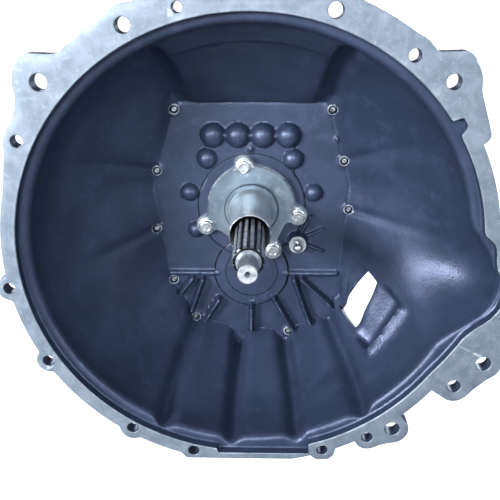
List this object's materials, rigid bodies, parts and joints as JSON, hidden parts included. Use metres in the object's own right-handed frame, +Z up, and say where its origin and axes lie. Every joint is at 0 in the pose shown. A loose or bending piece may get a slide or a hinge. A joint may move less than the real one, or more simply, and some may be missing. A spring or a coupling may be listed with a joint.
{
  "type": "gearbox housing",
  "caption": "Clutch-side gearbox housing with a wide bolted bell mouth, splined input shaft in a guide tube, ribbed front wall, gear case behind and a rear output flange.",
  "frame": {"origin": "where the input shaft's axis meets the machined engine face", "axes": "+Y rearwards along the shafts, +Z up, +X to the right looking rearwards"},
  "size_m": [0.4583, 0.5665, 0.4352],
  "materials": {
    "painted_casting": "painted cast aluminium, machined faces bare",
    "cast_aluminium": "as cast",
    "satin_alloy": "satin",
    "zinc_steel": "zinc plated",
    "seal_rubber": "matt",
    "turned_steel": "turned"
  },
  "bodies": {
    "housing": {"bell_housing": "painted_casting", "front_retainer": "satin_alloy", "retainer_bolts": "zinc_steel", "fork_pivot": "zinc_steel", "input_seal": "seal_rubber", "gear_case": "cast_aluminium", "case_bolts": "zinc_steel", "dowels": "turned_steel", "drain_plug": "zinc_steel", "level_plug": "zinc_steel", "rear_cover": "cast_aluminium", "cover_bolts": "zinc_steel", "output_seal": "seal_rubber", "idler_pin": "turned_steel", "input_bearing_outer": "turned_steel", "input_bearing_rollers": "turned_steel", "mainshaft_bearing_outer": "turned_steel", "mainshaft_bearing_rollers": "turned_steel", "countershaft_front_bearing_outer": "turned_steel", "countershaft_front_bearing_rollers": "turned_steel", "countershaft_rear_bearing_outer": "turned_steel", "countershaft_rear_bearing_rollers": "turned_steel"},
    "input": {"input_shaft": "turned_steel", "input_bearing_inner": "turned_steel", "pilot_rollers": "turned_steel"},
    "layshaft": {"countershaft": "turned_steel", "countershaft_front_bearing_inner": "turned_steel", "countershaft_rear_bearing_inner": "turned_steel"},
    "output": {"mainshaft": "turned_steel", "output_flange": "turned_steel", "flange_nut": "zinc_steel", "mainshaft_bearing_inner": "turned_steel", "hub_5_6": "turned_steel", "hub_3_4": "turned_steel", "hub_1_2": "turned_steel", "hub_reverse": "turned_steel"},
    "idler": {"reverse_idler": "turned_steel"},
    "reverse": {"reverse_gear": "turned_steel"},
    "first": {"first_gear": "turned_steel"},
    "second": {"second_gear": "turned_steel"},
    "third": {"third_gear": "turned_steel"},
    "fourth": {"fourth_gear": "turned_steel"},
    "sixth": {"sixth_gear": "turned_steel"},
    "selector_5_6": {"rail_5_6": "turned_steel", "fork_5_6": "turned_steel"},
    "slider_5_6": {"sleeve_5_6": "turned_steel"},
    "selector_3_4": {"rail_3_4": "turned_steel", "fork_3_4": "turned_steel"},
    "slider_3_4": {"sleeve_3_4": "turned_steel"},
    "selector_1_2": {"rail_1_2": "turned_steel", "fork_1_2": "turned_steel"},
    "slider_1_2": {"sleeve_1_2": "turned_steel"},
    "selector_reverse": {"rail_reverse": "turned_steel", "fork_reverse": "turned_steel"},
    "slider_reverse": {"sleeve_reverse": "turned_steel"}
  },
  "joints": [
    {"name": "input_spin", "type": "hinge", "parent": "housing", "child": "input", "pos_m": [0, 0, 0], "axis": [0, 1, 0], "continuous": true},
    {"name": "layshaft_spin", "type": "hinge", "parent": "housing", "child": "layshaft", "pos_m": [0, 0, -0.074], "axis": [0, 1, 0], "continuous": true},
    {"name": "output_spin", "type": "hinge", "parent": "housing", "child": "output", "pos_m": [0, 0, 0], "axis": [0, 1, 0], "continuous": true},
    {"name": "idler_spin", "type": "hinge", "parent": "housing", "child": "idler", "pos_m": [0.0431, 0, -0.05615], "axis": [0, 1, 0], "continuous": true},
    {"name": "reverse_spin", "type": "hinge", "parent": "housing", "child": "reverse", "pos_m": [0, 0, 0], "axis": [0, 1, 0], "continuous": true},
    {"name": "first_spin", "type": "hinge", "parent": "housing", "child": "first", "pos_m": [0, 0, 0], "axis": [0, 1, 0], "continuous": true},
    {"name": "second_spin", "type": "hinge", "parent": "housing", "child": "second", "pos_m": [0, 0, 0], "axis": [0, 1, 0], "continuous": true},
    {"name": "third_spin", "type": "hinge", "parent": "housing", "child": "third", "pos_m": [0, 0, 0], "axis": [0, 1, 0], "continuous": true},
    {"name": "fourth_spin", "type": "hinge", "parent": "housing", "child": "fourth", "pos_m": [0, 0, 0], "axis": [0, 1, 0], "continuous": true},
    {"name": "sixth_spin", "type": "hinge", "parent": "housing", "child": "sixth", "pos_m": [0, 0, 0], "axis": [0, 1, 0], "continuous": true},
    {"name": "selector_5_6_slide", "type": "slide", "parent": "housing", "child": "selector_5_6", "axis": [0, 1, 0], "range_m": [-0.0045, 0.0045]},
    {"name": "slider_5_6_slide", "type": "slide", "parent": "output", "child": "slider_5_6", "axis": [0, 1, 0], "range_m": [-0.0045, 0.0045]},
    {"name": "selector_3_4_slide", "type": "slide", "parent": "housing", "child": "selector_3_4", "axis": [0, 1, 0], "range_m": [-0.0045, 0.0045]},
    {"name": "slider_3_4_slide", "type": "slide", "parent": "output", "child": "slider_3_4", "axis": [0, 1, 0], "range_m": [-0.0045, 0.0045]},
    {"name": "selector_1_2_slide", "type": "slide", "parent": "housing", "child": "selector_1_2", "axis": [0, 1, 0], "range_m": [-0.0045, 0.0045]},
    {"name": "slider_1_2_slide", "type": "slide", "parent": "output", "child": "slider_1_2", "axis": [0, 1, 0], "range_m": [-0.0045, 0.0045]},
    {"name": "selector_reverse_slide", "type": "slide", "parent": "housing", "child": "selector_reverse", "axis": [0, 1, 0], "range_m": [-0.0045, 0.0045]},
    {"name": "slider_reverse_slide", "type": "slide", "parent": "output", "child": "slider_reverse", "axis": [0, 1, 0], "range_m": [-0.0045, 0.0045]}
  ],
  "couplings": [
    {"joint": "layshaft_spin", "follows": "input_spin", "ratio": -0.7037},
    {"joint": "idler_spin", "follows": "input_spin", "ratio": 0.57176},
    {"joint": "reverse_spin", "follows": "input_spin", "ratio": -0.32672},
    {"joint": "first_spin", "follows": "input_spin", "ratio": 0.27722},
    {"joint": "second_spin", "follows": "input_spin", "ratio": 0.45238},
    {"joint": "third_spin", "follows": "input_spin", "ratio": 0.64506},
    {"joint": "fourth_spin", "follows": "input_spin", "ratio": 0.83774},
    {"joint": "sixth_spin", "follows": "input_spin", "ratio": 1.2004},
    {"joint": "slider_5_6_slide", "follows": "selector_5_6_slide", "ratio": 1},
    {"joint": "slider_3_4_slide", "follows": "selector_3_4_slide", "ratio": 1},
    {"joint": "slider_1_2_slide", "follows": "selector_1_2_slide", "ratio": 1},
    {"joint": "slider_reverse_slide", "follows": "selector_reverse_slide", "ratio": 1}
  ]
}
